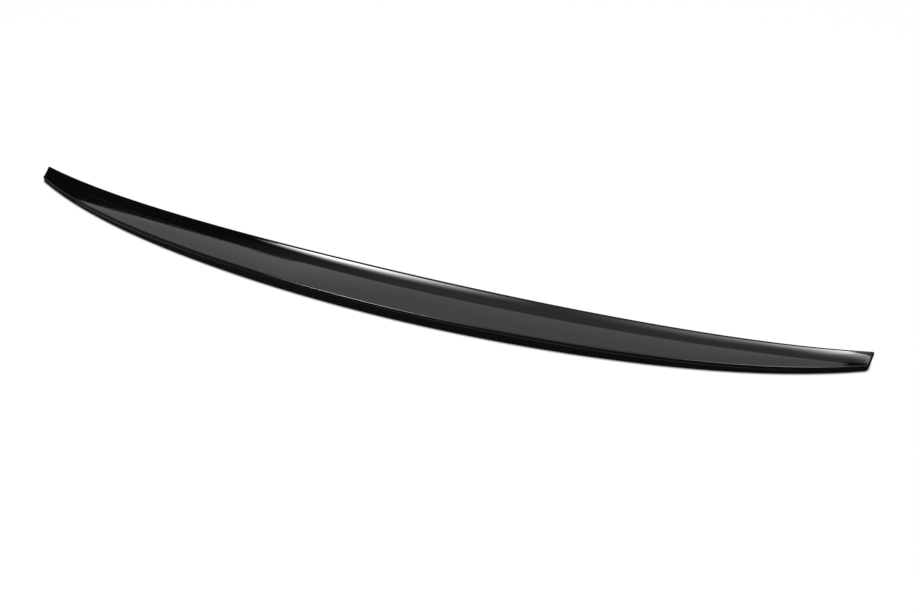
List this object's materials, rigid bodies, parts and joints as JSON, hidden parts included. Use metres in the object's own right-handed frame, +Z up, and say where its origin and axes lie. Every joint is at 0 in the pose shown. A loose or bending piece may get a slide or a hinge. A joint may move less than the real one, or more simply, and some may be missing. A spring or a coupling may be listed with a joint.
{
  "type": "car rear spoiler",
  "caption": "Long crescent boot-lid lip spoiler in gloss black: a thin moulded skin with a level lens-shaped shelf, a concave front cove and an upright rear wall, open below.",
  "frame": {"origin": "middle of the footprint, on the plane of the rear wall's foot", "axes": "+X across the car to the right as seen from behind, +Y towards the front of the car, +Z up"},
  "size_m": [1.2002, 0.1245, 0.028],
  "materials": {
    "gloss_black": "gloss black moulded plastic, polished outside and satin inside"
  },
  "bodies": {
    "root": {"lip_spoiler": "gloss_black"}
  },
  "joints": []
}
